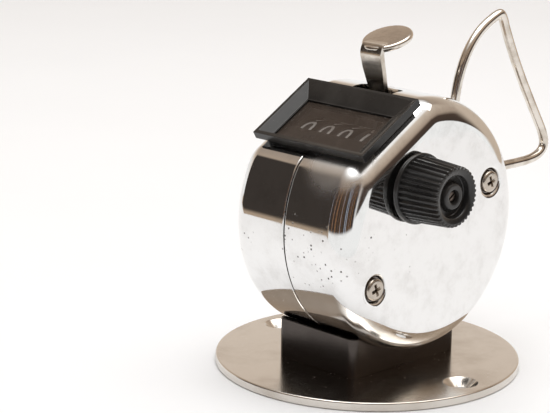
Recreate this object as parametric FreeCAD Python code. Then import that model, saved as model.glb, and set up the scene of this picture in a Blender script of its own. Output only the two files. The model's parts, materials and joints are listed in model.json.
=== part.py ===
import FreeCAD, Part
import math
import os
from FreeCAD import Vector

# Desk tally counter: a drum-shaped steel case on a round base plate.
# Millimetres. +Z is up, the origin is the centre of the base plate's underside,
# +X runs along the number wheels towards the reset knob, and -Y is the front.
# On the case, "slope" coordinates (u, d) are used: u runs up the sloping window
# flat and d is the distance from the case's axis, square to that flat.

# Base plate and pedestal
PLATE_RADIUS = 27.5
PLATE_THICKNESS = 1.6
PLATE_HOLE_OFFSET = 22.5
PLATE_HOLE_RADIUS = 1.65
COUNTERSINK_RADIUS = 3.0
PEDESTAL_HALF_X = 9.45
PEDESTAL_HALF_Y = 13.4
PEDESTAL_TOP_Z = 8.75
PEDESTAL_WALL = 1.2
PEDESTAL_CORNER = 1.4
BASE_SCREW_Y = 9.5

# Case
CASE_AXIS_Z = 27.9
CASE_RADIUS = 22.5
CASE_WALL = 0.6
FLAT_DISTANCE = 20.2
FLAT_CORNER = 6.0
SLOPE_DEG = 31.0
LEFT_FACE_X = -12.3
RIGHT_FACE_X = 15.6
SEAM_X = 1.1
SEAM_GAP = 0.12
LEFT_FILLET = 3.3
RIGHT_FILLET = 4.4
LIP_LENGTH = 1.8
LIP_GAP = 0.08
LIP_WALL = 0.5

# Screws, posts and pillars, each as (y, z)
POST_PLACES = [(14.3, 33.9), (-14.8, 19.6)]
POST_RADIUS = 2.2
PILLAR_PLACES = [(-17.0, 30.0), (3.0, 12.5), (17.4, 26.5), (-12.3, 25.6)]
PILLAR_RADIUS = 1.2
TENON_RADIUS = 0.8
SCREW_RADIUS = 1.0
SCREW_HEAD_RADIUS = 2.0
DIMPLE_RADIUS = 2.75
DIMPLE_DEPTH = 0.75

# Window bezel and lens, in slope coordinates
BEZEL_X = (-11.3, 15.0)
BEZEL_U = (-7.9, 7.7)
BEZEL_TOP = 22.4
BEZEL_RIM_HEIGHT = 1.4
RIM_WIDTH = 0.7
NECK_INSET_X = 2.0
NECK_INSET_U = 0.7
TRAY_X = (-8.6, 11.6)
TRAY_U = (-5.8, 3.75)
TRAY_FLOOR = 20.65
LENS_THICKNESS = 0.6
MASK_X = (-8.5, 9.8)
MASK_U = (-2.4, 3.5)
COLLAR_MARGIN = 0.6
COLLAR_BOTTOM = 19.45
FIT_GAP = 0.1

# Number wheels
WHEEL_U = -0.9
WHEEL_D = 10.0
WHEEL_RADIUS = 8.2
WHEEL_PITCH = 4.45
WHEEL_RIM_WIDTH = 3.1
WHEEL_LENGTH = 4.35
UNITS_WHEEL_X = 6.4
WHEEL_NAMES = ["units", "tens", "hundreds", "thousands"]
TEETH = 10
TOOTH_TIP = 5.0
TOOTH_ROOT = 3.9
DEEP_NOTCH_ROOT = 3.1
TOOTH_FACE_DEG = 12.0
RECESS_OUTER = 7.2
RECESS_INNER = 2.3
RECESS_DEPTH = 2.0
SHAFT_RADIUS = 1.5
RUNNING_GAP = 0.05

# Frame plates
LEFT_PLATE_X = (-9.5, -8.7)
RIGHT_PLATE_X = (9.4, 10.2)
FRAME_RADIUS = 21.2
FRAME_FLAT = 18.6

# Reset knob
KNOB_REAR_X = 16.3
KNOB_FRONT_X = 25.1
FLANGE_THICKNESS = 0.9
FLANGE_RADIUS = 6.15
KNOB_REAR_RADIUS = 5.75
KNOB_FRONT_RADIUS = 5.2
FLUTES = 36
FLUTE_DEPTH = 0.35
DISH_RADII = (3.7, 4.5)
DISH_DEPTH = 0.3
POCKET_RADIUS = 3.6
POCKET_DEPTH = 1.6
BOSS_RADIUS = 2.2
BOSS_DROP = 0.5
SHAFT_X = (-10.5, 23.0)
KNOB_SCREW_HEAD_RADIUS = 1.05
KNOB_SCREW_SHANK_RADIUS = 0.58
KNOB_SCREW_TOP_X = 24.0

# Rivets, dimples and fasteners
RIVET_RADIUS = 1.0
RIVET_X = (-5.5, 6.5)
POST_TENON_RADIUS = 1.25
RECESS_ARM = (2.3, 0.5)
RECESS_SUNK = 0.6
SCREW_HEAD_HEIGHT = 0.9
BASE_SCREW_LENGTH = 5.4
BASE_BOSS_RADIUS = 2.3
EASY_FIT = 0.02

# Count lever, pivot and drive pawl, as (y, z)
PIVOT = (14.6, 40.0)
PIVOT_RADIUS = 1.0
PAWL_PIVOT = (3.2, 46.9)
PAWL_PIN_RADIUS = 0.6
LEVER_CENTRE_X = 1.25
EAR_X = (-3.05, 5.55)
EAR_THICKNESS = 0.9
STEM_TOP_WIDTH = 4.9
STEM_BASE_WIDTH = 3.7
PAD_RADIUS = 4.6
PAD_THICKNESS = 1.1
PAD_CENTRE = (1.9, 58.9)
PAD_RISE_DEG = 20.0
SLOT_X = (-3.5, 6.0)
SLOT_Y = (-3.7, 1.8)
PAWL_TIP_RADIUS = 0.28
FINGER_STEP = 1.8

# Finger ring
RING_X = 1.1
RING_WIRE_RADIUS = 0.9


def slope_point(x, u, d):
    """Turn slope coordinates into a point of the model."""
    angle = math.radians(SLOPE_DEG)
    y = u * math.cos(angle) - d * math.sin(angle)
    z = CASE_AXIS_Z + u * math.sin(angle) + d * math.cos(angle)
    return Vector(x, y, z)


WHEEL_CENTRE = slope_point(0, WHEEL_U, WHEEL_D)
WHEEL_AXIS = (WHEEL_CENTRE.y, WHEEL_CENTRE.z)


def rod_x(radius, x_range, place):
    """A round rod along X at (y, z)."""
    start = Vector(x_range[0], place[0], place[1])
    return Part.makeCylinder(radius, x_range[1] - x_range[0], start, Vector(1, 0, 0))


def cone_x(radius_a, radius_b, x_range, place):
    start = Vector(x_range[0], place[0], place[1])
    return Part.makeCone(radius_a, radius_b, x_range[1] - x_range[0], start, Vector(1, 0, 0))


def prism_x(outline, x_range):
    """A straight prism along X whose section is a list of (y, z) corners."""
    points = [Vector(x_range[0], y, z) for y, z in outline]
    face = Part.Face(Part.makePolygon(points + points[:1]))
    return face.extrude(Vector(x_range[1] - x_range[0], 0, 0))


def slope_rectangle(x_range, u_range, d):
    """A closed rectangular wire parallel to the window flat."""
    corners = [slope_point(x, u, d) for x, u in (
        (x_range[0], u_range[0]), (x_range[1], u_range[0]),
        (x_range[1], u_range[1]), (x_range[0], u_range[1]))]
    return Part.makePolygon(corners + corners[:1])


def slope_block(x_range, u_range, d_range):
    """A block standing square to the window flat."""
    wires = [slope_rectangle(x_range, u_range, d) for d in d_range]
    return Part.makeLoft(wires, True, True)


def case_outline(inset, x):
    """The case's section: a circle with one flat, joined by tangent corners."""
    radius = CASE_RADIUS - inset
    flat = FLAT_DISTANCE - inset
    corner = FLAT_CORNER - inset
    height = flat - corner
    reach = radius - corner
    half = math.sqrt(reach ** 2 - height ** 2)
    turn = math.atan2(half, height)
    on_circle = (radius * math.sin(turn), radius * math.cos(turn))
    middle = (half + corner * math.sin(turn / 2), height + corner * math.cos(turn / 2))
    flat_left = slope_point(x, -half, flat)
    flat_right = slope_point(x, half, flat)
    circle_left = slope_point(x, -on_circle[0], on_circle[1])
    circle_right = slope_point(x, on_circle[0], on_circle[1])
    edges = [
        Part.LineSegment(flat_left, flat_right).toShape(),
        Part.Arc(flat_right, slope_point(x, middle[0], middle[1]), circle_right).toShape(),
        Part.Arc(circle_right, slope_point(x, 0, -radius), circle_left).toShape(),
        Part.Arc(circle_left, slope_point(x, -middle[0], middle[1]), flat_left).toShape(),
    ]
    return Part.Wire(edges)


def case_slug(inset, face_x, open_x, fillet):
    """A solid slug of the case's section with its closed end rounded."""
    slug = Part.Face(case_outline(inset, face_x)).extrude(Vector(open_x - face_x, 0, 0))
    rim = []
    for edge in slug.Edges:
        if all(abs(vertex.X - face_x) < 1e-6 for vertex in edge.Vertexes):
            rim.append(edge)
    return slug.makeFillet(fillet, rim)


def cover_shell(face_x, open_x, fillet):
    """A drawn steel cup: the slug with an inner slug taken out of it."""
    direction = 1 if open_x > face_x else -1
    outer = case_slug(0, face_x, open_x, fillet)
    inner = case_slug(CASE_WALL, face_x + direction * CASE_WALL, open_x + direction, fillet - CASE_WALL)
    return outer.cut(inner)


def lip_ring(outer_inset, x_range):
    outer = Part.Face(case_outline(outer_inset, x_range[0]))
    inner = Part.Face(case_outline(CASE_WALL + LIP_GAP + LIP_WALL, x_range[0]))
    return outer.cut(inner).extrude(Vector(x_range[1] - x_range[0], 0, 0))


def window_opening():
    """The opening in the flat that the bezel's collar drops into."""
    margin = COLLAR_MARGIN + FIT_GAP
    x_range = (TRAY_X[0] - margin, TRAY_X[1] + margin)
    u_range = (TRAY_U[0] - margin, TRAY_U[1] + margin)
    return slope_block(x_range, u_range, (FLAT_DISTANCE - 2.5, FLAT_DISTANCE + 1))


def lever_slot():
    size = (SLOT_X[1] - SLOT_X[0], SLOT_Y[1] - SLOT_Y[0])
    corner = Vector(SLOT_X[0], SLOT_Y[0], CASE_AXIS_Z + CASE_RADIUS - 3)
    return Part.makeBox(size[0], size[1], 5, corner)


def cut_from_covers(shell):
    shell = shell.cut(window_opening())
    shell = shell.cut(lever_slot())
    shell = shell.cut(ring_path(RING_WIRE_RADIUS + RUNNING_GAP))
    for x in RIVET_X:
        hole = Part.makeCylinder(RIVET_RADIUS + EASY_FIT, 3, Vector(x, 0, CASE_AXIS_Z - CASE_RADIUS - 1))
        shell = shell.cut(hole)
    return shell


def left_cover():
    open_x = SEAM_X - SEAM_GAP
    shell = cover_shell(LEFT_FACE_X, open_x, LEFT_FILLET)
    shell = shell.fuse(lip_ring(CASE_WALL - 0.2, (open_x - 2.4, open_x - 0.2)))
    shell = shell.fuse(lip_ring(CASE_WALL + LIP_GAP, (open_x - 0.4, open_x + LIP_LENGTH)))
    for place in POST_PLACES:
        hole = rod_x(POST_TENON_RADIUS + RUNNING_GAP, (LEFT_FACE_X - 1, LEFT_FACE_X + 2), place)
        shell = shell.cut(hole)
    return cut_from_covers(shell).removeSplitter()


def right_cover():
    shell = cover_shell(RIGHT_FACE_X, SEAM_X, RIGHT_FILLET)
    for place in POST_PLACES:
        pad = rod_x(DIMPLE_RADIUS + 0.4, (RIGHT_FACE_X - DIMPLE_DEPTH - 0.5, RIGHT_FACE_X - 0.3), place)
        shell = shell.fuse(pad)
        dimple_x = (RIGHT_FACE_X - DIMPLE_DEPTH, RIGHT_FACE_X)
        shell = shell.cut(cone_x(SCREW_HEAD_RADIUS + 0.2, DIMPLE_RADIUS, dimple_x, place))
        shell = shell.cut(rod_x(SCREW_RADIUS + 0.1, (RIGHT_FACE_X - 3, RIGHT_FACE_X), place))
    shaft_hole = rod_x(SHAFT_RADIUS + 0.4, (RIGHT_FACE_X - 2, RIGHT_FACE_X + 1), WHEEL_AXIS)
    return cut_from_covers(shell.cut(shaft_hole)).removeSplitter()


def threaded_posts():
    """Two posts riveted through the left cover, tapped for the cover screws."""
    posts = []
    end_x = RIGHT_FACE_X - DIMPLE_DEPTH - 0.55
    for place in POST_PLACES:
        post = rod_x(POST_RADIUS, (LEFT_FACE_X + CASE_WALL + 0.02, end_x), place)
        post = post.fuse(rod_x(POST_TENON_RADIUS, (LEFT_FACE_X - 0.05, LEFT_FACE_X + 1), place))
        post = post.fuse(cone_x(1.1, 1.8, (LEFT_FACE_X - 0.4, LEFT_FACE_X - 0.02), place))
        post = post.cut(rod_x(SCREW_RADIUS, (end_x - 6, end_x + 1), place))
        posts.append(post)
    return Part.makeCompound(posts)


def cross_recess(x, place):
    """A cross recess seen from +X, sunk below x."""
    long_side, short_side = RECESS_ARM
    corner_a = Vector(x - RECESS_SUNK, place[0] - long_side / 2, place[1] - short_side / 2)
    corner_b = Vector(x - RECESS_SUNK, place[0] - short_side / 2, place[1] - long_side / 2)
    bar_a = Part.makeBox(1, long_side, short_side, corner_a)
    bar_b = Part.makeBox(1, short_side, long_side, corner_b)
    return bar_a.fuse(bar_b)


def cover_screws():
    screws = []
    seat_x = RIGHT_FACE_X - DIMPLE_DEPTH
    for place in POST_PLACES:
        head = rod_x(SCREW_HEAD_RADIUS, (seat_x + EASY_FIT, seat_x + SCREW_HEAD_HEIGHT), place)
        edges = [edge for edge in head.Edges if edge.BoundBox.XMin > seat_x + SCREW_HEAD_HEIGHT - 0.1]
        head = head.makeFillet(0.5, edges)
        shank = rod_x(SCREW_RADIUS - EASY_FIT, (seat_x - 5, seat_x + 0.5), place)
        screw = head.fuse(shank).cut(cross_recess(seat_x + SCREW_HEAD_HEIGHT, place))
        screws.append(screw)
    return Part.makeCompound(screws)


def base_plate():
    plate = Part.makeCylinder(PLATE_RADIUS, PLATE_THICKNESS)
    plate = plate.makeFillet(0.25, [e for e in plate.Edges if len(e.Vertexes) == 1])
    sink_depth = COUNTERSINK_RADIUS - PLATE_HOLE_RADIUS
    for x in (-PLATE_HOLE_OFFSET, PLATE_HOLE_OFFSET):
        hole = Part.makeCylinder(PLATE_HOLE_RADIUS, 4, Vector(x, 0, -1))
        sink_base = Vector(x, 0, PLATE_THICKNESS - sink_depth)
        sink = Part.makeCone(PLATE_HOLE_RADIUS, COUNTERSINK_RADIUS, sink_depth, sink_base)
        plate = plate.cut(hole).cut(sink)
    for y in (-BASE_SCREW_Y, BASE_SCREW_Y):
        plate = plate.cut(flat_head_screw(y, FIT_GAP / 2, 4))
    return plate


def flat_head_screw(y, gap, top_z):
    """A countersunk screw that points up from the underside of the plate."""
    head = Part.makeCone(SCREW_HEAD_RADIUS + gap, SCREW_RADIUS + gap, 1.0, Vector(0, y, 0.1 - gap))
    shank = Part.makeCylinder(SCREW_RADIUS - EASY_FIT + gap, top_z - 0.5, Vector(0, y, 0.5))
    tail = Part.makeCylinder(SCREW_HEAD_RADIUS + gap, 1.0, Vector(0, y, -0.9 - gap))
    screw = head.fuse(shank)
    return screw.fuse(tail) if gap else screw


def base_screws():
    places = (-BASE_SCREW_Y, BASE_SCREW_Y)
    return Part.makeCompound([flat_head_screw(y, 0, BASE_SCREW_LENGTH) for y in places])


def pedestal():
    """A hollow saddle: a rounded box whose top follows the case."""
    def rounded_box(inset, bottom, top):
        half_x = PEDESTAL_HALF_X - inset
        half_y = PEDESTAL_HALF_Y - inset
        corner = Vector(-half_x, -half_y, bottom)
        box = Part.makeBox(2 * half_x, 2 * half_y, top - bottom, corner)
        upright = [e for e in box.Edges if e.BoundBox.ZLength > (top - bottom) * 0.9]
        return box.makeFillet(PEDESTAL_CORNER - inset * 0.8, upright)
    reach = (-20, 20)
    axis = (0, CASE_AXIS_Z)
    outer = rounded_box(0, PLATE_THICKNESS, PEDESTAL_TOP_Z)
    hollow = rounded_box(PEDESTAL_WALL, PLATE_THICKNESS - 1, PEDESTAL_TOP_Z - PEDESTAL_WALL)
    hollow = hollow.cut(rod_x(CASE_RADIUS + PEDESTAL_WALL, reach, axis))
    body = outer.cut(hollow)
    for y in (-BASE_SCREW_Y, BASE_SCREW_Y):
        body = body.fuse(Part.makeCylinder(BASE_BOSS_RADIUS, 5.5, Vector(0, y, PLATE_THICKNESS)))
    body = body.cut(rod_x(CASE_RADIUS + 0.06, reach, axis))
    for y in (-BASE_SCREW_Y, BASE_SCREW_Y):
        body = body.cut(Part.makeCylinder(SCREW_RADIUS, 4.2, Vector(0, y, PLATE_THICKNESS)))
    for x in RIVET_X:
        body = body.cut(Part.makeCylinder(RIVET_RADIUS + EASY_FIT, 5, Vector(x, 0, 3)))
    return body.removeSplitter()


def saddle_rivets():
    rivets = []
    for x in RIVET_X:
        bottom = CASE_AXIS_Z - CASE_RADIUS - PEDESTAL_WALL
        shank = Part.makeCylinder(RIVET_RADIUS, 3.0, Vector(x, 0, bottom - 0.6))
        lower = Part.makeCone(1.4, 1.8, 0.6, Vector(x, 0, bottom - 0.65))
        upper = Part.makeCone(1.8, 1.2, 0.8, Vector(x, 0, bottom + PEDESTAL_WALL + CASE_WALL + 0.15))
        rivets.append(shank.fuse(lower).fuse(upper))
    return Part.makeCompound(rivets)


def window_bezel():
    """A moulded tray: flared rim, recessed neck and a collar inside the case."""
    rim_base = BEZEL_TOP - BEZEL_RIM_HEIGHT
    neck_x = (BEZEL_X[0] + NECK_INSET_X, BEZEL_X[1] - NECK_INSET_X)
    neck_u = (BEZEL_U[0] + NECK_INSET_U, BEZEL_U[1] - NECK_INSET_U)
    soft = 0.3
    top_x = (BEZEL_X[0] + soft, BEZEL_X[1] - soft)
    top_u = (BEZEL_U[0] + soft, BEZEL_U[1] - soft)
    rim = slope_block(BEZEL_X, BEZEL_U, (rim_base, BEZEL_TOP - soft))
    crown = Part.makeLoft([slope_rectangle(BEZEL_X, BEZEL_U, BEZEL_TOP - soft),
                           slope_rectangle(top_x, top_u, BEZEL_TOP)], True, True)
    neck = slope_block(neck_x, neck_u, (FLAT_DISTANCE + 0.02, rim_base))
    collar_x = (TRAY_X[0] - COLLAR_MARGIN, TRAY_X[1] + COLLAR_MARGIN)
    collar_u = (TRAY_U[0] - COLLAR_MARGIN, TRAY_U[1] + COLLAR_MARGIN)
    collar = slope_block(collar_x, collar_u, (COLLAR_BOTTOM, FLAT_DISTANCE + 0.02))
    body = rim.fuse(crown).fuse(neck).fuse(collar)
    mouth_x = (BEZEL_X[0] + RIM_WIDTH, BEZEL_X[1] - RIM_WIDTH)
    mouth_u = (BEZEL_U[0] + RIM_WIDTH, BEZEL_U[1] - RIM_WIDTH)
    tray = Part.makeLoft([slope_rectangle(TRAY_X, TRAY_U, TRAY_FLOOR),
                          slope_rectangle(mouth_x, mouth_u, BEZEL_TOP)], True, True)
    seat = slope_block(TRAY_X, TRAY_U, (TRAY_FLOOR - LENS_THICKNESS, TRAY_FLOOR))
    mask = slope_block(MASK_X, MASK_U, (COLLAR_BOTTOM - 1, TRAY_FLOOR))
    return body.cut(tray).cut(seat).cut(mask).removeSplitter()


def window_lens():
    x_range = (TRAY_X[0] + FIT_GAP, TRAY_X[1] - FIT_GAP)
    u_range = (TRAY_U[0] + FIT_GAP, TRAY_U[1] - FIT_GAP)
    return slope_block(x_range, u_range, (TRAY_FLOOR - LENS_THICKNESS + 0.02, TRAY_FLOOR))


def frame_plate(x_range):
    """A round chassis plate with a flat under the window."""
    plate = rod_x(FRAME_RADIUS, x_range, (0, CASE_AXIS_Z))
    side = 2 * CASE_RADIUS
    above = slope_block((x_range[0] - 1, x_range[1] + 1), (-side, side), (FRAME_FLAT, side))
    plate = plate.cut(above)
    holes = [(WHEEL_AXIS, 2.6), (PIVOT, PIVOT_RADIUS + 0.01)]
    holes += [(place, POST_RADIUS + 0.1) for place in POST_PLACES]
    holes += [(place, TENON_RADIUS + 0.01) for place in PILLAR_PLACES]
    for place, radius in holes:
        plate = plate.cut(rod_x(radius, (x_range[0] - 1, x_range[1] + 1), place))
    return plate


def frame_pillars():
    pillars = []
    for place in PILLAR_PLACES:
        pillar = rod_x(PILLAR_RADIUS, (LEFT_PLATE_X[1] + 0.01, RIGHT_PLATE_X[0] - 0.01), place)
        pillar = pillar.fuse(rod_x(TENON_RADIUS, (LEFT_PLATE_X[0] - 0.3, RIGHT_PLATE_X[1] + 0.3), place))
        pillars.append(pillar)
    return Part.makeCompound(pillars)


def shaft_bush(x_range, flange_x):
    bush = rod_x(2.58, x_range, WHEEL_AXIS).fuse(rod_x(3.3, flange_x, WHEEL_AXIS))
    return bush.cut(rod_x(SHAFT_RADIUS + RUNNING_GAP, (-30, 30), WHEEL_AXIS))


def polar(centre, radius, degrees):
    """A (y, z) place at an angle that is measured from +Y towards +Z."""
    angle = math.radians(degrees)
    return (centre[0] + radius * math.cos(angle), centre[1] + radius * math.sin(angle))


def ratchet(x_range, deep_tooth):
    """Ten saw teeth, one of them with a deeper notch behind it."""
    outline = []
    step = 360.0 / TEETH
    for index in range(TEETH):
        face = TOOTH_FACE_DEG + index * step
        root = DEEP_NOTCH_ROOT if index == deep_tooth else TOOTH_ROOT
        outline.append(polar(WHEEL_AXIS, TOOTH_TIP, face))
        outline.append(polar(WHEEL_AXIS, root, face + 0.5))
    return prism_x(outline, x_range)


def wheel_start(index):
    return UNITS_WHEEL_X - index * WHEEL_PITCH - WHEEL_RIM_WIDTH / 2


def number_wheel(index):
    start = wheel_start(index)
    rim = rod_x(WHEEL_RADIUS, (start, start + WHEEL_RIM_WIDTH), WHEEL_AXIS)
    recess = rod_x(RECESS_OUTER, (start, start + RECESS_DEPTH), WHEEL_AXIS)
    hub = rod_x(RECESS_INNER, (start, start + RECESS_DEPTH), WHEEL_AXIS)
    deep_tooth = 5 if index else 6
    teeth = ratchet((start + WHEEL_RIM_WIDTH - 0.2, start + WHEEL_LENGTH), deep_tooth)
    wheel = rim.cut(recess.cut(hub)).fuse(teeth)
    window_x = (start - 0.1, start + 1.2)
    side = prism_x(radial_bar(0.5, 1.0, 3.0, 90), window_x)
    pin = rod_x(0.4, (start + 0.2, start + RECESS_DEPTH + 0.2), polar(WHEEL_AXIS, 4.8, 90))
    wheel = wheel.cut(side).fuse(pin)
    return wheel.cut(rod_x(SHAFT_RADIUS + RUNNING_GAP, (-30, 30), WHEEL_AXIS))


def radial_bar(half_width, inner, outer, degrees):
    """The outline of a straight bar that points out from the wheel axis."""
    angle = math.radians(degrees)
    along = (math.cos(angle), math.sin(angle))
    across = (-along[1], along[0])
    corners = []
    for reach, side in ((inner, -1), (outer, -1), (outer, 1), (inner, 1)):
        y = WHEEL_AXIS[0] + reach * along[0] + side * half_width * across[0]
        z = WHEEL_AXIS[1] + reach * along[1] + side * half_width * across[1]
        corners.append((y, z))
    return corners


def reset_pawl(index):
    """The small pawl that drops into the shaft's groove when the wheel is zeroed."""
    x_range = (wheel_start(index) + 0.3, wheel_start(index) + 1.1)
    arm = prism_x(radial_bar(0.4, SHAFT_RADIUS + 0.15, 4.8, 90), x_range)
    eye = rod_x(0.95, x_range, polar(WHEEL_AXIS, 4.8, 90))
    return arm.fuse(eye).cut(rod_x(0.45, (-30, 30), polar(WHEEL_AXIS, 4.8, 90)))


def wheel_shaft():
    shaft = rod_x(SHAFT_RADIUS, SHAFT_X, WHEEL_AXIS)
    groove = prism_x(radial_bar(0.45, 1.0, 2.0, 90), (-8.4, 9.1))
    clip_groove = rod_x(2, (-10.15, -9.85), WHEEL_AXIS).cut(rod_x(1.2, (-10.2, -9.8), WHEEL_AXIS))
    tapped = rod_x(KNOB_SCREW_SHANK_RADIUS + EASY_FIT, (19.0, 24), WHEEL_AXIS)
    return shaft.cut(groove).cut(clip_groove).cut(tapped)


def shaft_clip():
    ring = rod_x(2.5, (-10.13, -9.87), WHEEL_AXIS).cut(rod_x(1.22, (-11, -9), WHEEL_AXIS))
    return ring.cut(prism_x(radial_bar(0.8, 0, 3, 270), (-11, -9)))


def fluted_wire(radius, x):
    """One closed ring of flutes round the knob."""
    points = []
    step = 360.0 / FLUTES
    for index in range(FLUTES):
        for fraction, reach in ((0.0, 0), (0.35, 0), (0.55, FLUTE_DEPTH), (0.8, FLUTE_DEPTH)):
            place = polar(WHEEL_AXIS, radius - reach, (index + fraction) * step)
            points.append(Vector(x, place[0], place[1]))
    return Part.makePolygon(points + points[:1])


def reset_knob():
    flange_x = (KNOB_REAR_X, KNOB_REAR_X + FLANGE_THICKNESS)
    flange = rod_x(FLANGE_RADIUS, flange_x, WHEEL_AXIS)
    flange = flange.makeFillet(0.3, [e for e in flange.Edges if len(e.Vertexes) == 1])
    wires = [fluted_wire(KNOB_REAR_RADIUS, flange_x[1] - 0.2), fluted_wire(KNOB_FRONT_RADIUS, KNOB_FRONT_X)]
    knob = Part.makeLoft(wires, True, True).fuse(flange)
    dish = cone_x(DISH_RADII[0], DISH_RADII[1], (KNOB_FRONT_X - DISH_DEPTH, KNOB_FRONT_X), WHEEL_AXIS)
    pocket = rod_x(POCKET_RADIUS, (KNOB_FRONT_X - POCKET_DEPTH, KNOB_FRONT_X), WHEEL_AXIS)
    boss_x = (KNOB_FRONT_X - POCKET_DEPTH - 0.1, KNOB_FRONT_X - BOSS_DROP)
    boss = rod_x(BOSS_RADIUS, boss_x, WHEEL_AXIS)
    knob = knob.cut(dish.fuse(pocket).cut(boss))
    knob = knob.cut(rod_x(SHAFT_RADIUS + 0.01, (KNOB_REAR_X - 1, SHAFT_X[1] + RUNNING_GAP), WHEEL_AXIS))
    return knob.cut(rod_x(KNOB_SCREW_HEAD_RADIUS + FIT_GAP, (SHAFT_X[1], KNOB_FRONT_X + 1), WHEEL_AXIS))


def knob_screw():
    seat_x = SHAFT_X[1] + 0.07
    head = rod_x(KNOB_SCREW_HEAD_RADIUS, (seat_x, KNOB_SCREW_TOP_X), WHEEL_AXIS)
    head = head.fuse(rod_x(KNOB_SCREW_SHANK_RADIUS, (20, seat_x + 0.1), WHEEL_AXIS))
    slot_corner = Vector(KNOB_SCREW_TOP_X - 0.3, WHEEL_AXIS[0] - 1.2, WHEEL_AXIS[1] - 0.15)
    return head.cut(Part.makeBox(1, 2.4, 0.3, slot_corner))


def stem_outline():
    """The lever's sheet in side view, from the yoke up to the pad."""
    return [(0.35, 47.5), (-0.8, 50.1), (-2.7, 56.1), (-2.9, 57.0), (-2.65, 57.7), (-2.1, 58.05),
            (-0.5, 58.6), (-0.3, 57.5), (-1.2, 57.1), (-1.5, 56.5), (0.45, 50.5), (1.5, 47.7)]


def count_lever():
    half_top = STEM_TOP_WIDTH / 2
    half_base = STEM_BASE_WIDTH / 2
    stem = prism_x(stem_outline(), (LEVER_CENTRE_X - half_top, LEVER_CENTRE_X + half_top))
    front = [(-half_base, 47.0), (half_base, 47.0), (half_base, 50.0), (half_top, 55.5),
             (half_top, 60.0), (-half_top, 60.0), (-half_top, 55.5), (-half_base, 50.0)]
    points = [Vector(LEVER_CENTRE_X + x, -6, z) for x, z in front]
    trim = Part.Face(Part.makePolygon(points + points[:1])).extrude(Vector(0, 12, 0))
    stem = stem.common(trim)
    yoke = prism_x([(0.35, 47.5), (-0.35, 49.1), (0.95, 49.1), (1.5, 47.7)], EAR_X)
    lever = stem.fuse(yoke)
    ear_outline = [(-0.35, 49.1), (3.2, 48.7), (15.4, 42.0), (13.2, 38.4), (3.4, 44.9), (0.35, 47.5)]
    for x in (EAR_X[0], EAR_X[1] - EAR_THICKNESS):
        ear_x = (x, x + EAR_THICKNESS)
        lever = lever.fuse(prism_x(ear_outline, ear_x)).fuse(rod_x(2.2, ear_x, PIVOT))
    lever = lever.fuse(rod_x(0.5, EAR_X, (8.8, 42.3)))
    rise = math.radians(PAD_RISE_DEG)
    normal = Vector(0, -math.sin(rise), math.cos(rise))
    base = Vector(LEVER_CENTRE_X, PAD_CENTRE[0], PAD_CENTRE[1]) - normal * (PAD_THICKNESS / 2)
    pad = Part.makeCylinder(PAD_RADIUS, PAD_THICKNESS, base, normal)
    pad = pad.makeFillet(0.3, [e for e in pad.Edges if len(e.Vertexes) == 1])
    lever = lever.fuse(pad)
    lever = lever.cut(rod_x(PIVOT_RADIUS + RUNNING_GAP, (-10, 10), PIVOT))
    return lever.cut(rod_x(PAWL_PIN_RADIUS + 0.01, (-10, 10), PAWL_PIVOT)).removeSplitter()


def pawl_line():
    """The unit direction from the pawl's pivot to its tip, and their distance."""
    tip = polar(WHEEL_AXIS, 4.45, TOOTH_FACE_DEG + 6.0)
    dy = tip[0] - PAWL_PIVOT[0]
    dz = tip[1] - PAWL_PIVOT[1]
    length = math.hypot(dy, dz)
    return (dy / length, dz / length), length


def pawl_bar(start, end, half_start, half_end, x_range):
    """A bar along the pawl's line, from one distance to another."""
    (ey, ez), _ = pawl_line()
    outline = []
    for reach, side in ((start, -half_start), (end, -half_end), (end, half_end), (start, half_start)):
        outline.append((PAWL_PIVOT[0] + reach * ey - side * ez, PAWL_PIVOT[1] + reach * ez + side * ey))
    return prism_x(outline, x_range)


def drive_pawl():
    """A comb that pushes the units ratchet; its other fingers wait clear of theirs."""
    (ey, ez), length = pawl_line()
    inner_x = (EAR_X[0] + EAR_THICKNESS + 0.15, EAR_X[1] - EAR_THICKNESS - 0.15)
    comb = rod_x(1.2, inner_x, PAWL_PIVOT).fuse(pawl_bar(0, 3.3, 0.4, 0.4, inner_x))
    first_tooth = wheel_start(3) + WHEEL_RIM_WIDTH
    comb = comb.fuse(pawl_bar(2.3, 3.5, 0.4, 0.4, (first_tooth + 0.1, wheel_start(0) + WHEEL_LENGTH - 0.1)))
    for index in range(len(WHEEL_NAMES)):
        tooth_x = wheel_start(index) + WHEEL_RIM_WIDTH
        finger_x = (tooth_x + 0.2, tooth_x + 1.1)
        reach = length - (FINGER_STEP if index else 0.0)
        tip = (PAWL_PIVOT[0] + reach * ey, PAWL_PIVOT[1] + reach * ez)
        comb = comb.fuse(pawl_bar(3.4, reach, 0.4, PAWL_TIP_RADIUS, finger_x))
        comb = comb.fuse(rod_x(PAWL_TIP_RADIUS, finger_x, tip))
    return comb.cut(rod_x(PAWL_PIN_RADIUS + RUNNING_GAP, (-10, 10), PAWL_PIVOT))


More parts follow.
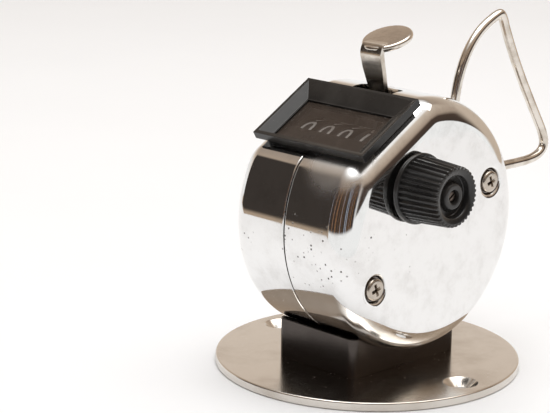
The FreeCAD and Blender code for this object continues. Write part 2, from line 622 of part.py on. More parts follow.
def detent_spring():
    """A leaf with one finger for each ratchet, carried beside a pillar."""
    base = (PILLAR_PLACES[3][0] + PILLAR_RADIUS + 0.2, PILLAR_PLACES[3][1])
    tip = polar(WHEEL_AXIS, TOOTH_TIP + 0.3, 235)
    thick = 0.3
    knee = (base[0] + (tip[0] - base[0]) * 0.3, base[1] + (tip[1] - base[1]) * 0.3)

    def leaf(start, end, x_range):
        outline = [start, end, (end[0] + thick, end[1]), (start[0] + thick, start[1])]
        return prism_x(outline, x_range)
    first = wheel_start(3) + WHEEL_RIM_WIDTH + 0.2
    last = wheel_start(0) + WHEEL_LENGTH - 0.15
    spring = leaf(base, knee, (first, last))
    for index in range(len(WHEEL_NAMES)):
        tooth_x = wheel_start(index) + WHEEL_RIM_WIDTH
        spring = spring.fuse(leaf(knee, tip, (tooth_x + 0.2, tooth_x + 1.1)))
    foot = Part.makeBox(last - first, 0.35, 1.6, Vector(first, base[0] - 0.15, base[1] - 1.6))
    return spring.fuse(foot).removeSplitter()


def lever_return_spring():
    """A torsion spring round the pivot pin, one leg on a post, one under the lever."""
    wire = 0.2
    mean = PIVOT_RADIUS + 0.45
    pitch = 0.6
    turns = 6.25
    start_x = -0.6
    helix = Part.makeHelix(pitch, pitch * turns, mean)
    section = Part.Wire(Part.makeCircle(wire, Vector(mean, 0, 0), Vector(0, 1, 0)))
    coil = Part.Wire(helix.Edges).makePipeShell([section], True, False)
    coil.rotate(Vector(0, 0, 0), Vector(1, 1, 1), 120)
    coil.translate(Vector(start_x, PIVOT[0], PIVOT[1]))
    leg = 0.16
    sunk = 0.15
    low_start = Vector(start_x, PIVOT[0] + mean, PIVOT[1] + sunk)
    low_leg = Part.makeCylinder(leg, 4.3, low_start, Vector(0, 0, -1))
    high_start = Vector(start_x + pitch * turns, PIVOT[0] + sunk, PIVOT[1] + mean)
    high_leg = Part.makeCylinder(leg, 6.5, high_start, Vector(0, -1, 0))
    return coil.fuse(low_leg).fuse(high_leg)


def ring_route():
    """The finger ring's route in its own plane, as (y, z), end to end."""
    return [(18.6, 36.6), (20.3, 41.0), (20.7, 47.2), (22.8, 53.3), (26.6, 57.9), (32.9, 61.0),
            (34.6, 57.0), (38.6, 49.3), (43.7, 41.2), (48.6, 33.6), (44.6, 31.4), (37.5, 31.2), (20.4, 31.4)]


def rounded_wire(points, radii):
    """Straight runs joined by tangent arcs in the ring's plane."""
    edges = []
    last = points[0]
    for index in range(1, len(points) - 1):
        before, here, after = points[index - 1], points[index], points[index + 1]
        to_before = (before - here).normalize()
        to_after = (after - here).normalize()
        half = to_before.getAngle(to_after) / 2
        radius = radii[index]
        reach = radius / math.tan(half)
        start = here + to_before * reach
        end = here + to_after * reach
        centre = here + (to_before + to_after).normalize() * (radius / math.sin(half))
        middle = centre + (here - centre).normalize() * radius
        edges.append(Part.LineSegment(last, start).toShape())
        edges.append(Part.Arc(start, middle, end).toShape())
        last = end
    edges.append(Part.LineSegment(last, points[-1]).toShape())
    return Part.Wire(edges)


def ring_path(wire_radius):
    points = [Vector(RING_X, y, z) for y, z in ring_route()]
    radii = [0.0] * len(points)
    tight = 1.3
    for index in range(1, len(points) - 1):
        before, here, after = points[index - 1], points[index], points[index + 1]
        half = (before - here).getAngle(after - here) / 2
        shorter = min((before - here).Length, (after - here).Length)
        radii[index] = 0.45 * shorter * math.tan(half)
    radii[5] = tight
    path = rounded_wire(points, radii)
    direction = (points[1] - points[0]).normalize()
    section = Part.Wire(Part.makeCircle(wire_radius, points[0], direction))
    return path.makePipeShell([section], True, False)


def finger_ring():
    return ring_path(RING_WIRE_RADIUS)


def build():
    nodes = {
        "base_plate": base_plate(),
        "pedestal": pedestal(),
        "base_screws": base_screws(),
        "saddle_rivets": saddle_rivets(),
        "left_cover": left_cover(),
        "right_cover": right_cover(),
        "threaded_posts": threaded_posts(),
        "cover_screws": cover_screws(),
        "window_bezel": window_bezel(),
        "window_lens": window_lens(),
        "left_frame_plate": frame_plate(LEFT_PLATE_X),
        "right_frame_plate": frame_plate(RIGHT_PLATE_X),
        "frame_pillars": frame_pillars(),
        "left_bushing": shaft_bush((-9.6, -8.6), (-9.75, -9.52)),
        "right_bushing": shaft_bush((9.3, 10.3), (10.22, 10.5)),
        "wheel_shaft": wheel_shaft(),
        "shaft_clip": shaft_clip(),
        "reset_knob": reset_knob(),
        "knob_screw": knob_screw(),
        "count_lever": count_lever(),
        "lever_pivot_pin": rod_x(PIVOT_RADIUS, (-10.2, 10.9), PIVOT),
        "lever_return_spring": lever_return_spring(),
        "drive_pawl": drive_pawl(),
        "pawl_pin": rod_x(PAWL_PIN_RADIUS, (EAR_X[0] - 0.3, EAR_X[1] + 0.3), PAWL_PIVOT),
        "detent_spring": detent_spring(),
        "finger_ring": finger_ring(),
    }
    for index, name in enumerate(WHEEL_NAMES):
        nodes["number_wheel_" + name] = number_wheel(index)
        nodes["reset_pawl_" + name] = reset_pawl(index)
    return nodes


os.makedirs("parts", exist_ok=True)
for node_name, shape in build().items():
    shape.exportStep("parts/" + node_name + ".step")
    print(node_name, "solids", len(shape.Solids), "valid", shape.isValid(), "volume", round(shape.Volume, 2))
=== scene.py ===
# %% [markdown]
# # A desk tally counter, dressed for a close look
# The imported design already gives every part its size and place. This lesson builds
# the parts that are seen, one at a time, and gives each one the finish it has on a
# real counter: mirror plate, satin steel, moulded plastic, a clear lens.

# %% Load the frame
import bpy
import bmesh
import json
import math
from mathutils import Matrix, Vector


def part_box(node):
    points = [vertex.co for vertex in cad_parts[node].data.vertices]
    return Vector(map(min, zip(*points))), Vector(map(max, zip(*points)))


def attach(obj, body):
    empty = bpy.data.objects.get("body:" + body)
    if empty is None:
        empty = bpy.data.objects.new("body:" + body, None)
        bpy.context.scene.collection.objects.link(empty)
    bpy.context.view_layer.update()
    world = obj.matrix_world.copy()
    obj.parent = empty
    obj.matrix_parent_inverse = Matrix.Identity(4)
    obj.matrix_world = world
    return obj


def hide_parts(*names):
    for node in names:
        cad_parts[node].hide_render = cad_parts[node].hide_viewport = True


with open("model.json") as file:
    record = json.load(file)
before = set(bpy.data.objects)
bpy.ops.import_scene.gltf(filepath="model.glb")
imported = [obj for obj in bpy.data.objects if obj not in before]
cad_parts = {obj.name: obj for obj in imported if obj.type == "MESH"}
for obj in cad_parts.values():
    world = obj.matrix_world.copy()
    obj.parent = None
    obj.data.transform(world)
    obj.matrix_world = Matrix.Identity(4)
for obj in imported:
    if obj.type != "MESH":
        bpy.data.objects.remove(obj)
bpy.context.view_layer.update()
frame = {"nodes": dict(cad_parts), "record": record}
MM = 0.001

# %% [markdown]
# ## Places, read from the frame
# The case is a drum lying on its side. Its axis, radius and faces come from the two
# covers' boxes, and the wheels' axis comes from the knob's joint, so nothing here
# has to be measured again. The window sits on a flat that slopes towards the reader:
# `u` runs up that slope and `d` is the distance from the drum's axis. The two cover
# screws' places are pairs of y and z in millimetres.

# %% Driving places
left_low, left_high = (Vector(corner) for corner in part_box("left_cover"))
right_low, right_high = (Vector(corner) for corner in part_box("right_cover"))
joint = {item["name"]: item for item in frame["record"]["behaviour"]["joints"]}
CASE_Z = (left_low.z + left_high.z) / 2
CASE_R = (left_high.z - left_low.z) / 2
SEAM_X = right_low.x
RIGHT_X = right_high.x
LEFT_X = left_low.x
WHEEL_AXIS = Vector(joint["knob_spin"]["pos_m"])
SLOPE = math.radians(31.0)
WALL = 0.6 * MM
FLAT = 20.2 * MM
CORNER = 6.0 * MM
POSTS = [(14.3, 33.9), (-14.8, 19.6)]
print("case radius mm", round(CASE_R / MM, 2), "axis z mm", round(CASE_Z / MM, 2))


def on_slope(x, u, d):
    """A point given across the window, up its slope and out from the drum's axis."""
    y = u * math.cos(SLOPE) - d * math.sin(SLOPE)
    z = CASE_Z + u * math.sin(SLOPE) + d * math.cos(SLOPE)
    return Vector((x, y, z))


# %% [markdown]
# ## A few workshop habits
# Operators act on whatever is selected, so every step starts by clearing the
# selection. A finished piece is settled: its place is moved into its mesh, and the
# object itself is left at the origin.

# %% Selection and settling helpers
def clear_selection():
    for item in list(bpy.context.selected_objects):
        item.select_set(False)


def activate(piece):
    clear_selection()
    piece.select_set(True)
    bpy.context.view_layer.objects.active = piece


def settle(piece):
    activate(piece)
    bpy.ops.object.transform_apply(location=True, rotation=True, scale=True)
    return piece


def added(name):
    """Names the object that an operator has just added, and settles it."""
    piece = bpy.context.object
    piece.name = name
    piece.data.name = name
    return settle(piece)


def pick(piece, kind, test):
    """Enters edit mode with the faces, edges or points that pass the test selected."""
    activate(piece)
    bpy.ops.object.mode_set(mode="EDIT")
    bpy.ops.mesh.select_mode(type=kind)
    bpy.ops.mesh.select_all(action="DESELECT")
    mesh = bmesh.from_edit_mesh(piece.data)
    parts = {"FACE": mesh.faces, "EDGE": mesh.edges, "VERT": mesh.verts}[kind]
    chosen = [part for part in parts if test(part)]
    for part in chosen:
        part.select = True
    mesh.select_flush_mode()
    bmesh.update_edit_mesh(piece.data)
    return len(chosen)


def leave(piece):
    bpy.ops.object.mode_set(mode="OBJECT")
    return piece


def modify(piece, kind, **settings):
    """Adds a modifier, sets it and applies it."""
    activate(piece)
    step = piece.modifiers.new(kind.lower(), kind)
    for key, value in settings.items():
        setattr(step, key, value)
    bpy.ops.object.modifier_apply(modifier=step.name)
    return piece


def carve(piece, cutter, how="DIFFERENCE"):
    """Takes the cutter's shape out of the piece, and removes the cutter."""
    modify(piece, "BOOLEAN", object=cutter, operation=how, solver="EXACT")
    bpy.data.objects.remove(cutter, do_unlink=True)
    return piece


def soften(piece, width, segments=2, angle=35.0):
    """Breaks the sharp edges a little and keeps the flats flat in the light."""
    modify(piece, "BEVEL", width=width, segments=segments, limit_method="ANGLE",
           angle_limit=math.radians(angle), use_clamp_overlap=True, harden_normals=False)
    smooth(piece, 50.0)
    return modify(piece, "WEIGHTED_NORMAL", keep_sharp=True, weight=60)


def smooth(piece, angle):
    activate(piece)
    bpy.ops.object.shade_smooth_by_angle(angle=math.radians(angle))
    return piece


def join(name, pieces):
    clear_selection()
    for piece in pieces:
        piece.select_set(True)
    bpy.context.view_layer.objects.active = pieces[0]
    bpy.ops.object.join()
    pieces[0].name = name
    return pieces[0]


def rod(name, radius, x_range, y, z, vertices=64):
    """A round bar along X, the start of everything that turns."""
    clear_selection()
    centre = ((x_range[0] + x_range[1]) / 2, y, z)
    bpy.ops.mesh.primitive_cylinder_add(vertices=vertices, radius=radius, depth=x_range[1] - x_range[0],
                                        location=centre, rotation=(0, math.pi / 2, 0))
    return added(name)


def block(name, x_range, y_range, z_range):
    clear_selection()
    low = Vector((x_range[0], y_range[0], z_range[0]))
    high = Vector((x_range[1], y_range[1], z_range[1]))
    bpy.ops.mesh.primitive_cube_add(size=1, location=(low + high) / 2, scale=high - low)
    return added(name)


def slope_block(name, x_range, u_range, d_range):
    """A block that stands square to the window flat."""
    piece = block(name, x_range, u_range, d_range)
    return to_slope(piece)


def to_slope(piece):
    """Tilts a piece made at the origin onto the window flat."""
    piece.rotation_euler = (SLOPE, 0, 0)
    piece.location = (0, 0, CASE_Z)
    return settle(piece)


# %% [markdown]
# ## Finishes as short sums
# A finish is a Principled shader with patterns feeding a few of its sockets. Wrapping
# a socket in a small class lets a pattern be written as an ordinary Python sum.
# All patterns read Object coordinates, in metres, so a scale of 1000 is one cell
# to the millimetre.

# %% Shader arithmetic
class Signal:
    """A socket that carries a number and knows how to join a sum."""

    def __init__(self, graph, socket):
        self.graph = graph
        self.socket = socket

    def combine(self, operation, first, second=0.0):
        return self.graph.node("ShaderNodeMath", {"operation": operation}, {0: first, 1: second})

    def __add__(self, other):
        return self.combine("ADD", self, other)

    def __radd__(self, other):
        return self.combine("ADD", other, self)

    def __sub__(self, other):
        return self.combine("SUBTRACT", self, other)

    def __rsub__(self, other):
        return self.combine("SUBTRACT", other, self)

    def __mul__(self, other):
        return self.combine("MULTIPLY", self, other)

    def __rmul__(self, other):
        return self.combine("MULTIPLY", other, self)

    def __gt__(self, other):
        return self.combine("GREATER_THAN", self, other)


class Graph:
    """A node tree, with one way to add a node and a few patterns built on it."""

    def __init__(self, tree):
        self.tree = tree

    def feed(self, socket, value):
        if isinstance(value, Signal):
            self.tree.links.new(value.socket, socket)
        else:
            socket.default_value = value

    def node(self, kind, settings, inputs, out=0):
        """Adds any node: its settings first, then its sockets' values or links."""
        item = self.tree.nodes.new(kind)
        for key, value in settings.items():
            if key == "stops":
                self.set_stops(item.color_ramp, value)
            else:
                setattr(item, key, value)
        for key, value in inputs.items():
            self.feed(item.inputs[key], value)
        return Signal(self, item.outputs[out])

    def set_stops(self, ramp, stops):
        while len(ramp.elements) < len(stops):
            ramp.elements.new(0.5)
        for element, (position, shade) in zip(ramp.elements, stops):
            element.position = position
            element.color = (*shade, 1.0)

    def ramp(self, value, low, high):
        """Spreads the part of a signal between low and high over 0 to 1."""
        inputs = {"Value": value, "From Min": low, "From Max": high}
        return self.node("ShaderNodeMapRange", {"interpolation_type": "SMOOTHSTEP"}, inputs)

    def band(self, value, low, high, soft):
        """One between low and high, falling softly to zero outside."""
        return self.ramp(value, low - soft, low) * (1 - self.ramp(value, high, high + soft))

    def mix(self, amount, first, second):
        """Blends two colours."""
        settings = {"data_type": "RGBA"}
        first = (*first, 1.0) if isinstance(first, tuple) else first
        second = (*second, 1.0) if isinstance(second, tuple) else second
        return self.node("ShaderNodeMix", settings, {"Factor": amount, 6: first, 7: second}, out=2)


class Finish(Graph):
    """One material: a Principled shader, its fixed values and its patterns."""

    def __init__(self, name, colour, metallic, roughness, **fixed):
        self.material = bpy.data.materials.new(name)
        self.material.use_nodes = True
        super().__init__(self.material.node_tree)
        self.shader = self.tree.nodes["Principled BSDF"]
        self.set("Base Color", (*colour, 1.0))
        self.set("Metallic", metallic)
        self.set("Roughness", roughness)
        for key, value in fixed.items():
            self.set(key.replace("_", " "), value)
        self.place = self.node("ShaderNodeTexCoord", {}, {}, out="Object")

    def set(self, name, value):
        """Sets a shader socket to a value or feeds it a signal."""
        self.feed(self.shader.inputs[name], value)

    def noise(self, scale, detail=3.0, stretch=(1, 1, 1), roughness=0.5):
        place = self.node("ShaderNodeMapping", {}, {"Vector": self.place, "Scale": stretch})
        inputs = {"Vector": place, "Scale": scale, "Detail": detail, "Roughness": roughness}
        return self.node("ShaderNodeTexNoise", {}, inputs)

    def near(self, point, inner, outer):
        """One close to a point, falling to zero at the outer radius."""
        inputs = {0: self.place, 1: point}
        gap = self.node("ShaderNodeVectorMath", {"operation": "DISTANCE"}, inputs, out="Value")
        return 1 - self.ramp(gap, inner, outer)

    def bump(self, height, strength, distance):
        inputs = {"Height": height, "Strength": strength, "Distance": distance}
        self.set("Normal", self.node("ShaderNodeBump", {}, inputs))

    def dress(self, piece):
        piece.data.materials.clear()
        piece.data.materials.append(self.material)
        return piece


# %% [markdown]
# ## Mirror plate on the covers
# Polished plate is a metal with a very low roughness. Real plate is never perfect:
# the pressed steel below it is slightly wavy, handling leaves faint smears, and
# after some years tiny pits open where the plate is thin. The pits are small
# Voronoi cells kept only where a mask says the wear is. The seam gap and a ring in
# each screw dimple are darkened as painted shade, and the plate has gone dull on
# one corner.

# %% Case chrome
def case_chrome():
    bright, smeared = (0.87, 0.87, 0.865), (0.74, 0.735, 0.725)
    finish = Finish("case_chrome", bright, 1.0, 0.05)
    smear = finish.ramp(finish.noise(190, 5, roughness=0.68), 0.42, 0.78)
    fine = finish.noise(2600, 2)
    cells = {"Vector": finish.place, "Scale": 1150.0}
    depth = finish.node("ShaderNodeTexVoronoi", {}, cells, out="Distance")
    chance = finish.node("ShaderNodeTexVoronoi", {}, cells, out="Color")
    keep = finish.node("ShaderNodeSeparateColor", {}, {"Color": chance}) > 0.45
    front = finish.near((7 * MM, -21.5 * MM, 25 * MM), 4 * MM, 12 * MM)
    far_front = finish.near((-8 * MM, -21 * MM, 25 * MM), 1 * MM, 6 * MM)
    low_face = finish.near((RIGHT_X, -12 * MM, 24 * MM), 3 * MM, 12 * MM)
    window_edge = finish.near((13.5 * MM, -15 * MM, 42 * MM), 2 * MM, 5 * MM)
    zone = finish.noise(420, 2) + 0.40 * (front + far_front) + 0.26 * low_face + 0.34 * window_edge
    pit = (1 - finish.ramp(depth, 0.10, 0.30)) * keep * finish.ramp(zone, 0.76, 0.94)
    hazy = finish.near((9 * MM, -17.5 * MM, 41.0 * MM), 4.0 * MM, 9.0 * MM)
    # Painted shade: a dark band in the seam gap and a dark ring round each screw in its dimple.
    across = finish.node("ShaderNodeSeparateXYZ", {}, {0: finish.place}, out=0)
    seam = finish.band(across, SEAM_X - 0.27 * MM, SEAM_X - 0.01 * MM, 0.03 * MM)
    rings = [finish.near((RIGHT_X - 0.5 * MM, y * MM, z * MM), 2.25 * MM, 2.65 * MM) for y, z in POSTS]
    seam_and_dimple_shade = seam + 0.85 * (rings[0] + rings[1])
    metal = finish.mix(seam_and_dimple_shade, finish.mix(smear, bright, smeared), (0.060, 0.042, 0.030))
    finish.set("Base Color", finish.mix(pit, metal, (0.02, 0.016, 0.013)))
    finish.set("Metallic", 1 - 0.8 * pit)
    finish.set("Roughness", 0.04 + 0.06 * smear + 0.02 * fine + 0.4 * pit + 0.26 * hazy)
    wave = finish.noise(90, 2)
    finish.bump(wave * 0.6 + fine * (0.008 + 0.05 * hazy) - pit * 0.5, 0.10, 0.2 * MM)
    return finish


chrome = case_chrome()
print("made", chrome.material.name)

# %% [markdown]
# ## The other finishes
# Each finish differs in how rough it is and in the scale of its pattern: satin
# steel has long faint strokes, moulded plastic has a fine orange peel and
# fingerprints, nickel wire has a few dull patches.

# %% Steel finishes
def satin_steel():
    finish = Finish("satin_plate", (0.72, 0.68, 0.63), 1.0, 0.16)
    cloud = finish.noise(70, 4, roughness=0.6)
    strokes = finish.noise(900, 3, stretch=(1, 0.06, 1))
    specks = finish.ramp(finish.noise(2200, 2), 0.70, 0.78)
    clean, stained = (0.74, 0.70, 0.65), (0.60, 0.55, 0.49)
    finish.set("Base Color", finish.mix(finish.ramp(cloud, 0.4, 0.7), clean, stained))
    finish.set("Roughness", 0.10 + 0.12 * cloud + 0.05 * strokes + 0.2 * specks)
    finish.bump(strokes * 0.5 + cloud, 0.05, 0.1 * MM)
    return finish


def saddle_steel():
    finish = Finish("saddle_steel", (0.11, 0.10, 0.09), 1.0, 0.22)
    cloud = finish.noise(160, 4, roughness=0.6)
    strokes = finish.noise(1500, 2, stretch=(0.05, 0.05, 1))
    finish.set("Base Color", finish.mix(cloud, (0.125, 0.11, 0.10), (0.06, 0.052, 0.048)))
    finish.set("Roughness", 0.14 + 0.14 * cloud + 0.06 * strokes)
    finish.bump(strokes, 0.06, 0.05 * MM)
    return finish


def nickel(name, roughness):
    finish = Finish(name, (0.74, 0.69, 0.63), 1.0, roughness)
    cloud = finish.ramp(finish.noise(330, 4, roughness=0.6), 0.4, 0.7)
    grain = finish.noise(3600, 2)
    finish.set("Base Color", finish.mix(cloud, (0.75, 0.70, 0.64), (0.56, 0.50, 0.43)))
    finish.set("Roughness", roughness + 0.10 * cloud + 0.05 * grain)
    finish.bump(grain * 0.3 + cloud, 0.05, 0.05 * MM)
    return finish


def plain_steel(name, colour, roughness):
    finish = Finish(name, colour, 1.0, roughness)
    strokes = finish.noise(1800, 3, stretch=(0.1, 1, 1))
    cloud = finish.noise(300, 3)
    darker = tuple(0.7 * part for part in colour)
    finish.set("Base Color", finish.mix(cloud, colour, darker))
    finish.set("Roughness", roughness + 0.15 * strokes)
    finish.bump(strokes, 0.08, 0.05 * MM)
    return finish


def screw_nickel():
    """Nickel with painted shade darkening the middle of the head, in the cross recess."""
    finish = nickel("screw_nickel", 0.15)
    centres = [(RIGHT_X - 0.45 * MM, y * MM, z * MM) for y, z in POSTS]
    # Painted shade: the middle of each head, where the cross recess is, is darkened.
    recess_shade = [finish.near(centre, 0.45 * MM, 0.78 * MM) for centre in centres]
    cloud = finish.noise(800, 3)
    worn = finish.mix(cloud, (0.62, 0.56, 0.49), (0.40, 0.35, 0.30))
    finish.set("Base Color", finish.mix(recess_shade[0] + recess_shade[1], worn, (0.05, 0.035, 0.025)))
    return finish


plate_finish = satin_steel()
saddle_finish = saddle_steel()
wire_finish = nickel("nickel_wire", 0.08)
lever_finish = nickel("lever_nickel", 0.14)
screw_finish = screw_nickel()
zinc_finish = plain_steel("zinc_stamping", (0.60, 0.60, 0.58), 0.35)
turned_finish = plain_steel("turned_steel", (0.62, 0.61, 0.60), 0.22)
spring_finish = plain_steel("spring_steel", (0.40, 0.40, 0.41), 0.30)
pin_finish = plain_steel("pin_steel", (0.16, 0.13, 0.11), 0.25)
brass_finish = plain_steel("bush_brass", (0.75, 0.55, 0.26), 0.28)


# %% Plastics and the lens
def black_plastic(name, roughness, grain_scale, tone=1.0):
    finish = Finish(name, (0.014, 0.014, 0.015), 0.0, roughness, Specular_IOR_Level=0.45)
    peel = finish.noise(grain_scale, 2)
    touch = finish.ramp(finish.noise(140, 3), 0.40, 0.75)
    dust = finish.ramp(finish.noise(5200, 2), 0.72, 0.78)
    clean, handled = (0.013, 0.0128, 0.0128), (0.026, 0.025, 0.024)
    base = finish.mix(touch, tuple(tone * part for part in clean), tuple(tone * part for part in handled))
    finish.set("Base Color", finish.mix(dust * 0.5, base, (0.25, 0.23, 0.21)))
    finish.set("Roughness", roughness + 0.07 * touch + 0.03 * peel + 0.3 * dust)
    finish.bump(peel, 0.05, 0.04 * MM)
    return finish


def lens_plastic():
    # Painted reflection: the brown base colour, seen at partial alpha, stands in for the warm room
    # reflected in the lens.
    finish = Finish("lens_clear", (0.10, 0.076, 0.062), 0.0, 0.06, Specular_IOR_Level=0.6, IOR=1.49)
    haze = finish.ramp(finish.noise(300, 4, roughness=0.6), 0.4, 0.75)
    finish.set("Roughness", 0.05 + 0.12 * haze)
    finish.set("Alpha", 0.30 + 0.12 * haze)
    return finish


def figure_paint():
    finish = Finish("figure_paint", (0.95, 0.93, 0.90), 0.0, 0.5)
    wear = finish.ramp(finish.noise(1500, 3), 0.35, 0.75)
    finish.set("Base Color", finish.mix(wear, (0.98, 0.96, 0.93), (0.80, 0.77, 0.72)))
    finish.bump(wear, 0.1, 0.03 * MM)
    return finish


bezel_finish = black_plastic("bezel_plastic", 0.18, 1800, 1.3)
knob_finish = black_plastic("knob_plastic", 0.20, 2400, 1.7)
wheel_finish = black_plastic("wheel_plastic", 0.48, 2600)
lens_finish = lens_plastic()
figure_finish = figure_paint()
print("finishes", len(bpy.data.materials))

# %% [markdown]
# ## The camera and the room
# A mirror shows the room, so the room is part of the finish. Chrome looks like
# chrome only when it has dark things and bright things to reflect. The world is a
# function of two numbers: the height of a direction, and its bearing round the
# upright, where 0 is straight ahead of the counter. It is white low down, warm on
# the walls and white above, with a dark wall ahead and to the left. The floor is a
# pale sheet that ends a little beside the counter, as a table does.

# %% Camera
CAMERA_PLACE = Vector((225.0, -240.4, 110.6)) * MM
CAMERA_YAW = 46.067
CAMERA_DOWN = 14.014
CAMERA_ROLL = 0.765
clear_selection()
bpy.ops.object.camera_add(location=CAMERA_PLACE)
camera = bpy.context.object
turn = (Matrix.Rotation(math.radians(CAMERA_YAW), 4, "Z")
        @ Matrix.Rotation(math.radians(90 - CAMERA_DOWN), 4, "X")
        @ Matrix.Rotation(math.radians(CAMERA_ROLL), 4, "Z"))
camera.rotation_euler = turn.to_euler()
camera.data.sensor_width = 36.0
camera.data.lens = 124.36
bpy.context.scene.camera = camera
bpy.context.scene.view_settings.view_transform = "Standard"

# %% Floor
clear_selection()
FLOOR_R, FLOOR_PLACE = 0.32, (-0.166, 0.160, 0)
bpy.ops.mesh.primitive_circle_add(vertices=96, radius=FLOOR_R, fill_type="NGON", location=FLOOR_PLACE)
floor = added("floor")
settle(floor)
floor_finish = Finish("floor_sheet", (0.90, 0.92, 0.95), 0.0, 0.6)
floor_shades = (0.90, 0.925, 0.955), (0.87, 0.895, 0.925)
floor_finish.set("Base Color", floor_finish.mix(floor_finish.noise(14, 3), *floor_shades))
floor_finish.dress(floor)


# %% Room light
def room():
    """The world: white low down, warm walls, a white ceiling and dark places ahead."""
    world = bpy.data.worlds.new("studio")
    bpy.context.scene.world = world
    world.use_nodes = True
    graph = Graph(world.node_tree)
    background = graph.tree.nodes["Background"]
    direction = graph.node("ShaderNodeTexCoord", {}, {}, out="Generated")
    x = graph.node("ShaderNodeSeparateXYZ", {}, {0: direction}, out=0)
    y = graph.node("ShaderNodeSeparateXYZ", {}, {0: direction}, out=1)
    z = graph.node("ShaderNodeSeparateXYZ", {}, {0: direction}, out=2)
    bearing = x.combine("ARCTAN2", x, 0 - y)
    degree = math.radians(1.0)
    charcoal, low_white = (0.045, 0.037, 0.032), (0.95, 0.95, 0.94)
    left_stops = [(0.00, low_white), (0.10, (0.95, 0.94, 0.92)), (0.30, (0.80, 0.70, 0.61)),
                  (0.42, (0.56, 0.46, 0.37)), (0.62, (0.42, 0.33, 0.255)), (0.74, (0.34, 0.28, 0.23)),
                  (0.88, (1.05, 1.04, 1.03))]
    right_stops = [(0.02, (0.060, 0.042, 0.033)), (0.28, (0.075, 0.05, 0.038)), (0.40, (0.40, 0.31, 0.24)),
                   (0.56, (0.52, 0.42, 0.33)), (0.78, (0.66, 0.55, 0.45)), (0.86, (1.05, 1.03, 1.0))]
    left = graph.node("ShaderNodeValToRGB", {"stops": left_stops}, {"Fac": z})
    right = graph.node("ShaderNodeValToRGB", {"stops": right_stops}, {"Fac": z})
    right = graph.mix(graph.ramp(z, -0.03, 0.0), low_white, right)
    walls = graph.mix(graph.band(bearing, 84 * degree, 168 * degree, 12 * degree), left, right)
    behind = graph.ramp(y, 0.84, 0.95) * graph.band(z, -0.12, 0.40, 0.05)
    walls = graph.mix(behind, walls, (0.58, 0.47, 0.37))
    stripes = {"W": bearing * 3.6 + 0.4, "Detail": 2.0}
    far = graph.node("ShaderNodeTexNoise", {"noise_dimensions": "1D"}, stripes)
    streaks = graph.mix(graph.ramp(far, 0.56, 0.62), (0.050, 0.038, 0.032), (0.42, 0.20, 0.08))
    streaks = graph.mix(graph.ramp(far, 0.66, 0.70), streaks, (0.55, 0.68, 0.85))

    def patch(heights, height_blur, bearings, bearing_blur):
        """A part of the room between two heights and two bearings in degrees."""
        start, end = (degree * angle for angle in bearings)
        across = graph.band(bearing, start, end, bearing_blur * degree)
        return graph.band(z, *heights, height_blur) * across

    result = graph.mix(patch((-0.06, 0.50), 0.06, (-42, 72), 2.5), walls, streaks)
    result = graph.mix(patch((-0.30, -0.04), 0.04, (-72, -36), 4), result, (0.42, 0.32, 0.23))
    result = graph.mix(patch((-0.08, 0.57), 0.05, (-66, -40), 1.5), result, charcoal)
    graph.feed(background.inputs["Color"], result)
    background.inputs["Strength"].default_value = 1.0


room()


def softbox(name, place, aim, size, power, colour=(1, 1, 1)):
    """A square soft light that faces the point it is aimed at."""
    clear_selection()
    bpy.ops.object.light_add(type="AREA", location=place)
    lamp = bpy.context.object
    lamp.name = name
    lamp.data.shape = "RECTANGLE"
    lamp.data.size = size[0]
    lamp.data.size_y = size[1]
    lamp.data.energy = power
    lamp.data.color = colour
    lamp.rotation_euler = (Vector(aim) - Vector(place)).to_track_quat("-Z", "Y").to_euler()


AIM = (0, 0, 0.03)
softbox("key_light", (-0.02, -0.02, 0.85), AIM, (0.6, 0.6), 4.0, (1.0, 0.99, 0.98))
softbox("fill_light", (0.20, 0.35, 0.85), AIM, (0.5, 0.5), 1.2)
print("lights ready")

# %% [markdown]
# ## Turned parts
# Anything round that a lathe could make starts as half of its section: a few points,
# each a place along the axis and a radius. Spinning that line once round the axis
# gives the skin. The spin leaves a double seam where it closes, so doubles are merged
# first, and only then are the faces told which way is out.

# %% The lathe
def turned(name, profile, steps=96, closed=False):
    """Spins a half section of (x, radius) points round the X axis."""
    mesh = bpy.data.meshes.new(name)
    edges = [(index, index + 1) for index in range(len(profile) - 1)]
    if closed:
        edges.append((len(profile) - 1, 0))
    mesh.from_pydata([(x, 0, radius) for x, radius in profile], edges, [])
    piece = bpy.data.objects.new(name, mesh)
    bpy.context.collection.objects.link(piece)
    activate(piece)
    bpy.ops.object.mode_set(mode="EDIT")
    bpy.ops.mesh.select_all(action="SELECT")
    bpy.ops.mesh.spin(steps=steps, dupli=False, angle=2 * math.pi, center=(0, 0, 0), axis=(1, 0, 0))
    bpy.ops.mesh.select_all(action="SELECT")
    bpy.ops.mesh.remove_doubles(threshold=1e-6)
    bpy.ops.mesh.normals_make_consistent(inside=False)
    return leave(piece)


def rounded(centre, radius, start, end, parts=5):
    """Points of an arc in a half section, as angles from the axis direction."""
    points = []
    for index in range(parts + 1):
        angle = math.radians(start + (end - start) * index / parts)
        points.append((centre[0] + radius * math.cos(angle), centre[1] + radius * math.sin(angle)))
    return points


def put(piece, place, turn=(0, 0, 0)):
    """Turns a piece made at the origin, and puts it in its place."""
    piece.rotation_euler = turn
    piece.location = place
    return settle(piece)


UPRIGHT = (0, -math.pi / 2, 0)


def scaled(profile):
    return [(x * MM, radius * MM) for x, radius in profile]


def copied(piece, name):
    """A copy with a mesh of its own."""
    twin = piece.copy()
    twin.data = piece.data.copy()
    twin.name = name
    twin.data.name = name
    bpy.context.collection.objects.link(twin)
    return twin


def show(piece, finish, body, slot, *nodes):
    """Dresses a finished piece and ties it to the frame."""
    finish.dress(piece)
    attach(piece, body)
    if nodes:
        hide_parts(*nodes)
    return piece


# %% [markdown]
# ## Base plate
# The plate is a turned steel disc with a broken edge and two countersunk holes. It is
# spun from its half section, and the holes are cut with turned cutters, because a
# countersink is itself the mark of a conical drill.

